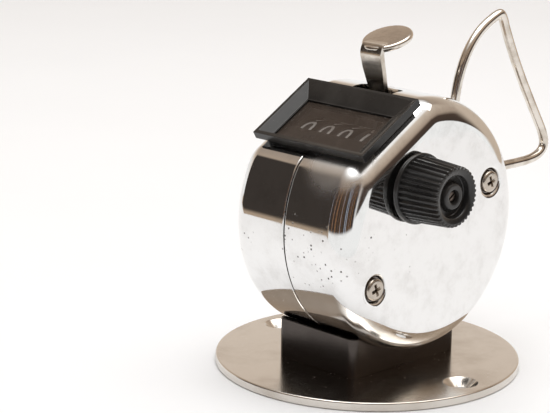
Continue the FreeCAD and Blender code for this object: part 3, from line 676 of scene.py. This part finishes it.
# %% Base plate
plate_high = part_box("base_plate")[1]
PLATE_R = plate_high.x / MM
PLATE_T = plate_high.z / MM
EDGE = 0.3
plate_profile = [(0, 0), (0, PLATE_R - EDGE), *rounded((EDGE, PLATE_R - EDGE), EDGE, 180, 90, 3)]
plate_profile += [*rounded((PLATE_T - EDGE, PLATE_R - EDGE), EDGE, 90, 0, 4), (PLATE_T, 0)]
base_plate = put(turned("base_disc", scaled(plate_profile), 256), (0, 0, 0), UPRIGHT)
sink_profile = [(-1, 0), (-1, 1.65), (PLATE_T - 1.4, 1.65), (PLATE_T - 0.05, 3.0), (PLATE_T + 0.1, 3.3)]
sink_profile += [(PLATE_T + 1, 3.3), (PLATE_T + 1, 0)]
for side in (-1, 1):
    drill = put(turned("drill", scaled(sink_profile), 64), (side * 22.5 * MM, 0, 0), UPRIGHT)
    carve(base_plate, drill)
smooth(base_plate, 40)
modify(base_plate, "WEIGHTED_NORMAL", keep_sharp=True, weight=60)
show(base_plate, plate_finish, "case", "satin_base", "base_plate")
print("plate faces", len(base_plate.data.polygons))

# %% [markdown]
# ## Pedestal
# The saddle block is a box with rounded uprights whose top is hollowed to the drum's
# radius. A round bar of that radius takes the hollow out, as a milling cutter would.

# %% Pedestal
foot_low, foot_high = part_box("pedestal")
pedestal = block("saddle_block", *zip(foot_low, foot_high))
upright_edge = lambda edge: abs(edge.verts[0].co.z - edge.verts[1].co.z) > 1 * MM
print("upright edges", pick(pedestal, "EDGE", upright_edge))
bpy.ops.mesh.bevel(offset=1.4 * MM, segments=8, affect="EDGES")
leave(pedestal)
saddle = rod("saddle_cutter", CASE_R + 0.05 * MM, (-0.02, 0.02), 0, CASE_Z, 256)
carve(pedestal, saddle)
soften(pedestal, 0.12 * MM)
show(pedestal, saddle_finish, "case", "dark_saddle", "pedestal")

# %% [markdown]
# ## The case section
# Both covers share one section: a circle with a flat for the window, joined by
# tangent corners. In a mirror every kink shows, so the points are spread by how far
# the surface turns: none along the flat, many round the corners.

# %% Section points
def case_outline(inset, corner_parts=14, round_parts=240):
    """Points (u, d) round the section, a wall's thickness further in if asked."""
    radius, flat, corner = CASE_R - inset, FLAT - inset, CORNER - inset
    height = flat - corner
    half = math.sqrt((radius - corner) ** 2 - height ** 2)
    turn = math.atan2(half, height)
    points = []
    for index in range(corner_parts + 1):
        angle = turn * index / corner_parts
        points.append((half + corner * math.sin(angle), height + corner * math.cos(angle)))
    for index in range(1, round_parts):
        angle = turn + (2 * math.pi - 2 * turn) * index / round_parts
        points.append((radius * math.sin(angle), radius * math.cos(angle)))
    for index in range(corner_parts + 1):
        angle = turn * (1 - index / corner_parts)
        points.append((-half - corner * math.sin(angle), height + corner * math.cos(angle)))
    return points


def case_slug(name, inset, x_range):
    """A closed bar with the case's section, made from a cylinder."""
    outline = case_outline(inset)
    count = len(outline)
    bar = rod(name, 1.0, (-1, 1), 0, 0, count)
    ordered = {}
    for point in bar.data.vertices:
        share = math.atan2(point.co.y, point.co.z) / (2 * math.pi)
        ordered[point.index] = round(share * count) % count
    for point in bar.data.vertices:
        u, d = outline[ordered[point.index]]
        point.co = on_slope(x_range[1] if point.co.x > 0 else x_range[0], u, d)
    return bar


def drawn_cup(name, face_x, open_x, fillet):
    """One cover: the end rounded over, the other end opened, and a steel wall."""
    cup = case_slug(name, 0, (min(face_x, open_x), max(face_x, open_x)))
    at_face = lambda edge: all(abs(point.co.x - face_x) < 1e-7 for point in edge.verts)
    pick(cup, "EDGE", at_face)
    bpy.ops.mesh.bevel(offset=fillet, segments=12, affect="EDGES", clamp_overlap=False)
    leave(cup)
    pick(cup, "FACE", lambda face: abs(face.calc_center_median().x - open_x) < 1e-7)
    bpy.ops.mesh.delete(type="FACE")
    leave(cup)
    modify(cup, "SOLIDIFY", thickness=WALL, offset=-1.0, use_even_offset=True)
    modify(cup, "BEVEL", width=0.24 * MM, segments=4, limit_method="ANGLE", angle_limit=math.radians(60))
    return cup


# %% [markdown]
# ## The covers
# A cover is drawn from sheet: a cup with a generous radius at its closed end. The
# window and the lever slot are punched through both, the shaft hole and the screw
# dimples only through the right one. A dimple is pressed, so its lip rolls over
# softly; its cutter is turned with a flared top.

# %% Covers
left_cover = drawn_cup("left_shell", LEFT_X, SEAM_X - 0.26 * MM, 3.3 * MM)
right_cover = drawn_cup("right_shell", RIGHT_X, SEAM_X, 4.4 * MM)
lip = case_slug("lip", 0.68 * MM, (SEAM_X - 0.6 * MM, SEAM_X + 1.8 * MM))
pick(lip, "FACE", lambda face: abs(face.normal.x) > 0.9)
bpy.ops.mesh.delete(type="FACE")
leave(lip)
modify(lip, "SOLIDIFY", thickness=0.5 * MM, offset=-1.0)

WINDOW_X = (-9.3 * MM, 12.3 * MM)
WINDOW_U = (-6.5 * MM, 4.45 * MM)
SLOT_X = (-3.5 * MM, 6.0 * MM)
SLOT_Y = (-3.7 * MM, 1.8 * MM)
for shell in (left_cover, right_cover, lip):
    punch = slope_block("window_punch", WINDOW_X, WINDOW_U, (17 * MM, 22 * MM))
    carve(shell, punch)
    punch = block("slot_punch", SLOT_X, SLOT_Y, (CASE_Z + 18 * MM, CASE_Z + 25 * MM))
    pick(punch, "EDGE", upright_edge)
    bpy.ops.mesh.bevel(offset=1.2 * MM, segments=6, affect="EDGES")
    leave(punch)
    carve(shell, punch)

dimple = [(-3.0, 0), (-3.0, 1.2), (-0.75, 1.2), (-0.75, 2.15), (-0.70, 2.22), (-0.45, 2.34)]
dimple += [(-0.22, 2.50), (-0.08, 2.72), (-0.02, 2.95), (0.02, 3.25), (0.3, 3.3), (0.3, 0)]
for y, z in POSTS:
    boss = rod("dimple_wall", 2.9 * MM, (RIGHT_X - 1.2 * MM, RIGHT_X - 0.2 * MM), y * MM, z * MM)
    carve(right_cover, boss, "UNION")
    press = put(turned("press", scaled(dimple), 72), (RIGHT_X, y * MM, z * MM))
    carve(right_cover, press)
hole = rod("shaft_drill", 1.9 * MM, (RIGHT_X - 2 * MM, RIGHT_X + 1 * MM), WHEEL_AXIS.y, WHEEL_AXIS.z)
carve(right_cover, hole)
left_cover = join("left_shell", [left_cover, lip])
for shell, node in ((left_cover, "left_cover"), (right_cover, "right_cover")):
    smooth(shell, 32)
    modify(shell, "WEIGHTED_NORMAL", keep_sharp=True, weight=60)
    show(shell, chrome, "case", "chrome_case", node)
    print(node, "faces", len(shell.data.polygons))

# %% [markdown]
# ## Cover screws
# Each screw is a turned pan head with a cross recess. The recess is cut with two
# tapered bars, because a driver's blades narrow towards the tip.

# %% Cover screws
SEAT_X = RIGHT_X - 0.73 * MM
head = [(-2.0, 0), (-2.0, 0.98), (0, 0.98), (0, 1.95), (0.08, 2.0), (0.30, 2.0)]
head += [*rounded((0.36, 1.45), 0.55, 80, 10, 6), (0.93, 1.1), (0.95, 0)]
screw = turned("cover_screw_rear", scaled(head), 64)
for long_way in (0, 1):
    wide, thin = 1.35 * MM, 0.36 * MM
    sides = ((-wide, wide), (-thin, thin)) if long_way else ((-thin, thin), (-wide, wide))
    blade = block("driver_blade", (0.1 * MM, 1.5 * MM), *sides)
    pick(blade, "FACE", lambda face: face.normal.x < -0.9)
    bpy.ops.transform.resize(value=(1, 0.55, 0.55))
    leave(blade)
    carve(screw, blade)
soften(screw, 0.05 * MM)
screw_turn = (math.radians(18), 0, 0)
screws = {"cover_screw_rear": screw, "cover_screw_front": copied(screw, "cover_screw_front")}
for (name, piece), (y, z) in zip(screws.items(), POSTS):
    put(piece, (SEAT_X, y * MM, z * MM), screw_turn)
    show(piece, screw_finish, "case", "nickel_steel", "cover_screws")

# %% [markdown]
# ## Window bezel
# The bezel is one moulding: a flared rim, a narrower neck below it, and a tray with
# sloping walls that ends in a ledge for the lens. It is built level, like a pastry
# case, by stepping one face after another up or down to a new rectangle, and tilted
# onto the window flat at the end.

# %% Stepping a face to a new rectangle
def step_face(piece, level, x_range, u_range, new_level):
    """Extrudes the face at a level and fits it to a rectangle at another level."""
    def at_level(face):
        return abs(face.normal.z) > 0.99 and abs(face.calc_center_median().z - level) < 1e-6
    pick(piece, "FACE", at_level)
    chosen = [face for face in bmesh.from_edit_mesh(piece.data).faces if face.select]
    middle = max(chosen, key=lambda face: face.calc_area())
    for face in chosen:
        face.select = face is middle
    corners = [point.co.copy() for point in middle.verts]
    bpy.ops.mesh.extrude_region_move(TRANSFORM_OT_translate={"value": (0, 0, 0)})
    low = Vector(min(corner[axis] for corner in corners) for axis in range(3))
    high = Vector(max(corner[axis] for corner in corners) for axis in range(3))
    centre = (low + high) / 2
    target = Vector((sum(x_range) / 2, sum(u_range) / 2, new_level))
    growth = ((x_range[1] - x_range[0]) / (high.x - low.x), (u_range[1] - u_range[0]) / (high.y - low.y), 1)
    bpy.ops.transform.resize(value=growth, center_override=centre)
    bpy.ops.transform.translate(value=target - centre)
    return leave(piece)


def grown(span, amount):
    return (span[0] - amount, span[1] + amount)


def span(low, high):
    return (low * MM, high * MM)


# %% Bezel
RIM_X, RIM_U = span(-11.3, 15.0), span(-7.9, 7.7)
TRAY_X, TRAY_U = span(-8.6, 11.6), span(-5.8, 3.75)
TOP, RIM_BASE, LEDGE, LENS_TOP = 22.4 * MM, 21.0 * MM, 20.95 * MM, 20.65 * MM
bezel = block("bezel_moulding", RIM_X, RIM_U, (RIM_BASE, TOP))
step_face(bezel, TOP, grown(RIM_X, -0.75 * MM), grown(RIM_U, -0.75 * MM), TOP)
step_face(bezel, TOP, grown(TRAY_X, 0.3 * MM), grown(TRAY_U, 0.3 * MM), LEDGE)
step_face(bezel, LEDGE, TRAY_X, TRAY_U, LEDGE)
step_face(bezel, LEDGE, TRAY_X, TRAY_U, LENS_TOP - 0.58 * MM)
NECK_X, NECK_U = grown(RIM_X, -2.0 * MM), grown(RIM_U, -0.7 * MM)
step_face(bezel, RIM_BASE, NECK_X, NECK_U, RIM_BASE)
step_face(bezel, RIM_BASE, NECK_X, NECK_U, FLAT + 0.02 * MM)
COLLAR_X, COLLAR_U = grown(TRAY_X, 0.6 * MM), grown(TRAY_U, 0.6 * MM)
step_face(bezel, FLAT + 0.02 * MM, COLLAR_X, COLLAR_U, FLAT + 0.02 * MM)
step_face(bezel, FLAT + 0.02 * MM, COLLAR_X, COLLAR_U, 19.45 * MM)
mask = block("mask_punch", span(-8.5, 9.8), span(-2.4, 3.5), (19 * MM, LENS_TOP))
carve(bezel, mask)
soften(bezel, 0.2 * MM, 3)
to_slope(bezel)
show(bezel, bezel_finish, "case", "black_plastic", "window_bezel")

lens = block("lens_plate", grown(TRAY_X, -0.08 * MM), grown(TRAY_U, -0.08 * MM), span(20.09, 20.65))
soften(lens, 0.08 * MM)
to_slope(lens)
show(lens, lens_finish, "case", "clear_lens", "window_lens")
print("bezel faces", len(bezel.data.polygons))

# %% [markdown]
# ## Figures
# The wheels' figures are printed, a few hundredths proud of the wheel. Each is a text
# object turned to mesh, cut across into narrow strips so that it can bend, and then
# wrapped round the wheel. Counting turns a wheel so that the next figure comes up
# from the front, so figures follow each other down the front of the wheel.

# %% Figures
WHEEL_R = 8.2 * MM
FIGURE_HEIGHT = 4.7 * MM
FIGURE_WIDTH = 2.55 * MM
READING_ANGLE = math.radians(118.0)
PRINT_PROUD = 0.03 * MM


def figure(digit):
    """A flat figure, centred at the origin, in the XY plane."""
    clear_selection()
    bpy.ops.object.text_add(location=(0, 0, 0))
    piece = bpy.context.object
    piece.data.body = str(digit)
    piece.data.resolution_u = 6
    bpy.ops.object.convert(target="MESH")
    piece = bpy.context.object
    corners = [point.co.copy() for point in piece.data.vertices]
    low = Vector(min(corner[axis] for corner in corners) for axis in range(3))
    high = Vector(max(corner[axis] for corner in corners) for axis in range(3))
    width = FIGURE_WIDTH * (0.24 if digit == 1 else 1.0)
    centre = (low + high) / 2
    for point in piece.data.vertices:
        point.co.x = (point.co.x - centre.x) * width / (high.x - low.x)
        point.co.y = (point.co.y - centre.y) * FIGURE_HEIGHT / (high.y - low.y)
        point.co.z = 0
    activate(piece)
    bpy.ops.object.mode_set(mode="EDIT")
    strips = 14
    for index in range(1, strips):
        bpy.ops.mesh.select_all(action="SELECT")
        level = (index / strips - 0.5) * FIGURE_HEIGHT
        bpy.ops.mesh.bisect(plane_co=(0, level, 0), plane_no=(0, 1, 0))
    bpy.ops.mesh.select_all(action="SELECT")
    bpy.ops.mesh.remove_doubles(threshold=1e-7)
    bpy.ops.mesh.normals_make_consistent(inside=False)
    return leave(piece)


def wrap(piece, centre_x, angle):
    """Bends a flat figure round the wheel, its foot towards the larger angle."""
    for point in piece.data.vertices:
        at = angle - point.co.y / WHEEL_R
        radius = WHEEL_R + PRINT_PROUD
        y = WHEEL_AXIS.y + radius * math.cos(at)
        z = WHEEL_AXIS.z + radius * math.sin(at)
        point.co = Vector((centre_x + point.co.x, y, z))
    return piece


plain_figures = [figure(digit) for digit in range(10)]
WHEELS = ("units", "tens", "hundreds", "thousands")
for index, name in enumerate(WHEELS):
    centre_x = (6.65 - 4.45 * index) * MM
    shown = 1 if index == 0 else 0
    ring = []
    for digit, plain in enumerate(plain_figures):
        angle = READING_ANGLE + math.radians(36.0) * (digit - shown)
        ring.append(wrap(copied(plain, "figure"), centre_x, angle))
    band = join("figures_" + name, ring)
    show(band, figure_finish, name + "_wheel", "wheel_plastic")
for plain in plain_figures:
    bpy.data.objects.remove(plain, do_unlink=True)
print("figures on", len(WHEELS), "wheels")

# %% [markdown]
# ## Reset knob
# The knob is one moulding: a thin flange, a fluted grip that narrows a little, and a
# hollow front with a boss for the screw. Its half section is spun in fine steps, and
# then every point on the grip is drawn in by a wave that repeats once per flute.

# %% Reset knob
FLUTES = 36
FLUTE_DEPTH = 0.36 * MM
STEPS_PER_FLUTE = 8
knob_profile = [(16.3, 1.55), (16.3, 5.9), *rounded((16.55, 5.9), 0.25, 180, 90, 3)]
knob_profile += [*rounded((16.95, 5.9), 0.25, 90, 0, 3), (17.2, 5.8), (17.25, 5.72), (18.5, 5.66)]
knob_profile += [(21.5, 5.46), (24.6, 5.24), *rounded((24.72, 4.84), 0.38, 80, 0, 4), (25.1, 4.60)]
knob_profile += [(25.07, 4.45), (25.0, 4.22), (24.9, 3.95), (24.82, 3.78), (24.7, 3.66), (24.4, 3.6)]
knob_profile += [(23.6, 3.56), (23.5, 3.46), (23.5, 2.75), (23.6, 2.58), (23.8, 2.46), (24.35, 2.26)]
knob_profile += [(24.52, 2.14), (24.58, 1.95)]
knob_profile += [(24.58, 1.40), (24.50, 1.22), (24.2, 1.15), (23.05, 1.15), (23.05, 1.55)]
knob = turned("knob_moulding", scaled(knob_profile), FLUTES * STEPS_PER_FLUTE, closed=True)
GRIP_INNER, GRIP_START = 4.62 * MM, 17.22 * MM
for point in knob.data.vertices:
    radius = math.hypot(point.co.y, point.co.z)
    if radius > GRIP_INNER and point.co.x > GRIP_START:
        wave = max(0.0, math.cos(FLUTES * math.atan2(point.co.z, point.co.y)) + 0.25) / 1.25
        ease = min(1.0, (radius - GRIP_INNER) / (0.4 * MM))
        factor = 1 - FLUTE_DEPTH * ease * wave ** 0.7 / radius
        point.co.y *= factor
        point.co.z *= factor
put(knob, (0, WHEEL_AXIS.y, WHEEL_AXIS.z))
smooth(knob, 40)
show(knob, knob_finish, "reset_shaft", "black_plastic", "reset_knob")

pin_profile = [(22.0, 0), (22.0, 0.58), (23.07, 0.58), (23.07, 1.02), (23.7, 1.05), (23.9, 0.95)]
pin_profile += [(24.0, 0.7), (24.0, 0)]
pin = put(turned("knob_pin", scaled(pin_profile), 40), (0, WHEEL_AXIS.y, WHEEL_AXIS.z))
slit = block("slit", span(23.7, 25), (-1.3 * MM, 1.3 * MM), (-0.17 * MM, 0.17 * MM))
put(slit, (0, WHEEL_AXIS.y, WHEEL_AXIS.z), (math.radians(35), 0, 0))
carve(pin, slit)
soften(pin, 0.04 * MM)
show(pin, pin_finish, "reset_shaft", "nickel_steel", "knob_screw")
print("knob faces", len(knob.data.polygons))

# %% [markdown]
# ## Count lever
# The lever is bent from one strip: a yoke with two ears that hang on the pivot, a
# stem that leans forward, two soft bends, and a round pad. The strip is drawn as its
# middle line in side view, given width, and thickened; the pad is turned.

# %% Flat plates and bent strips
def prism(name, outline, x_range):
    """A flat plate cut to a (y, z) outline, made from a disc's points."""
    clear_selection()
    bpy.ops.mesh.primitive_circle_add(vertices=len(outline), radius=1, fill_type="NGON")
    plate = added(name)
    for point, (y, z) in zip(plate.data.vertices, outline):
        point.co = (x_range[0], y * MM, z * MM)
    activate(plate)
    bpy.ops.object.mode_set(mode="EDIT")
    bpy.ops.mesh.select_all(action="SELECT")
    bpy.ops.mesh.extrude_region_move(TRANSFORM_OT_translate={"value": (x_range[1] - x_range[0], 0, 0)})
    bpy.ops.mesh.select_all(action="SELECT")
    bpy.ops.mesh.normals_make_consistent(inside=False)
    return leave(plate)


def bent_strip(name, line, centre_x, thickness):
    """A strip whose middle line is (y, z, half width), thickened both ways."""
    clear_selection()
    bpy.ops.mesh.primitive_plane_add(size=1)
    strip = added(name)
    pick(strip, "VERT", lambda point: point.co.y > 0)
    for _ in line[2:]:
        bpy.ops.mesh.extrude_region_move(TRANSFORM_OT_translate={"value": (0, 1, 0)})
    leave(strip)
    for point in strip.data.vertices:
        y, z, half = line[round(point.co.y + 0.5)]
        side = 1 if point.co.x > 0 else -1
        point.co = (centre_x + side * half * MM, y * MM, z * MM)
    return modify(strip, "SOLIDIFY", thickness=thickness, offset=0.0, use_even_offset=True)


def bend(centre, radius, start, end, half, parts=6):
    """Points of a bend in the strip's middle line."""
    points = []
    for index in range(parts + 1):
        angle = math.radians(start + (end - start) * index / parts)
        points.append((centre[0] + radius * math.cos(angle), centre[1] + radius * math.sin(angle), half))
    return points


# %% Lever
LEVER_X = 1.25 * MM
stem_line = [(0.85, 47.8, 1.85), (0.25, 49.4, 1.85), (-0.2, 50.6, 1.95), (-1.3, 54.1, 2.35)]
stem_line += bend((0.1, 56.7), 2.0, 195, 140, 2.45) + [(-0.7, 58.1, 2.4), (0.6, 58.42, 2.2)]
stem = bent_strip("lever_strip", stem_line, LEVER_X, 1.0 * MM)
soften(stem, 0.22 * MM, 3)
PAD_RISE = math.radians(20.0)
pad_profile = [(-0.55, 0), (-0.55, 4.25), *rounded((-0.25, 4.25), 0.3, 180, 90, 4)]
pad_profile += [*rounded((0.05, 4.1), 0.5, 90, 0, 6), (0.58, 2.0), (0.6, 0)]
pad = turned("lever_pad", scaled(pad_profile), 96)
pad.rotation_euler = (Matrix.Rotation(PAD_RISE, 4, "X") @ Matrix.Rotation(-math.pi / 2, 4, "Y")).to_euler()
pad.location = (LEVER_X, 1.9 * MM, 58.9 * MM)
settle(pad)
smooth(pad, 50)
ear = [(-0.35, 49.1), (3.2, 48.7), (15.4, 42.0), (16.8, 40.0), (16.1, 38.4), (14.6, 37.8), (13.2, 38.4)]
ear += [(3.4, 44.9), (0.35, 47.5)]
yoke = prism("yoke", [(0.35, 47.5), (-0.35, 49.1), (0.95, 49.1), (1.5, 47.7)], span(-3.05, 5.55))
ears = [prism("ear", ear, span(x, x + 0.9)) for x in (-3.05, 4.65)]
for plate in (yoke, *ears):
    soften(plate, 0.12 * MM)
lever = join("lever_bent", [stem, pad, yoke, *ears])
show(lever, lever_finish, "lever", "nickel_steel", "count_lever")
print("lever faces", len(lever.data.polygons))

# %% [markdown]
# ## Finger ring
# The ring is hard wire bent by hand tools: long nearly straight runs, one tight bend
# at the top, and both ends hidden in the drum. A curve with a round section follows
# the bends and is then made a mesh.

# %% Finger ring
RING_X = 1.1
ring_route = [(18.6, 36.6), (20.3, 41.0), (20.7, 47.2), (22.8, 53.3), (26.6, 57.9), (32.2, 60.7)]
ring_route += [(33.3, 60.3), (34.6, 57.0), (38.6, 49.3), (43.7, 41.2), (47.6, 35.2), (47.3, 32.6)]
ring_route += [(44.0, 31.3), (37.5, 31.2), (29.0, 31.3), (20.4, 31.4)]
route = bpy.data.curves.new("finger_ring_wire", "CURVE")
route.dimensions = "3D"
route.bevel_depth = 0.9 * MM
route.bevel_resolution = 8
route.resolution_u = 14
route.use_fill_caps = True
spline = route.splines.new("NURBS")
spline.points.add(len(ring_route) - 1)
for point, (y, z) in zip(spline.points, ring_route):
    point.co = (RING_X * MM, y * MM, z * MM, 1.0)
spline.order_u = 3
spline.use_endpoint_u = True
ring = bpy.data.objects.new("finger_ring_wire", route)
bpy.context.collection.objects.link(ring)
activate(ring)
bpy.ops.object.convert(target="MESH")
ring = bpy.context.object
smooth(ring, 60)
show(ring, wire_finish, "case", "nickel_steel", "finger_ring")

# %% [markdown]
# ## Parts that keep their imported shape
# The works inside the drum are plain stampings and turnings whose shape is already
# right, so they only get a finish.

# %% Inner parts
node_finishes = {
    "left_frame_plate": zinc_finish, "right_frame_plate": zinc_finish, "frame_pillars": turned_finish,
    "left_bushing": brass_finish, "right_bushing": brass_finish, "wheel_shaft": turned_finish,
    "shaft_clip": spring_finish, "lever_pivot_pin": turned_finish, "lever_return_spring": spring_finish,
    "drive_pawl": zinc_finish, "pawl_pin": turned_finish, "detent_spring": spring_finish,
    "threaded_posts": turned_finish, "base_screws": screw_finish, "saddle_rivets": turned_finish,
}
for name in WHEELS:
    node_finishes["number_wheel_" + name] = wheel_finish
    node_finishes["reset_pawl_" + name] = zinc_finish
for node, finish in node_finishes.items():
    finish.dress(frame["nodes"][node])
print("carried-over nodes dressed", len(node_finishes))
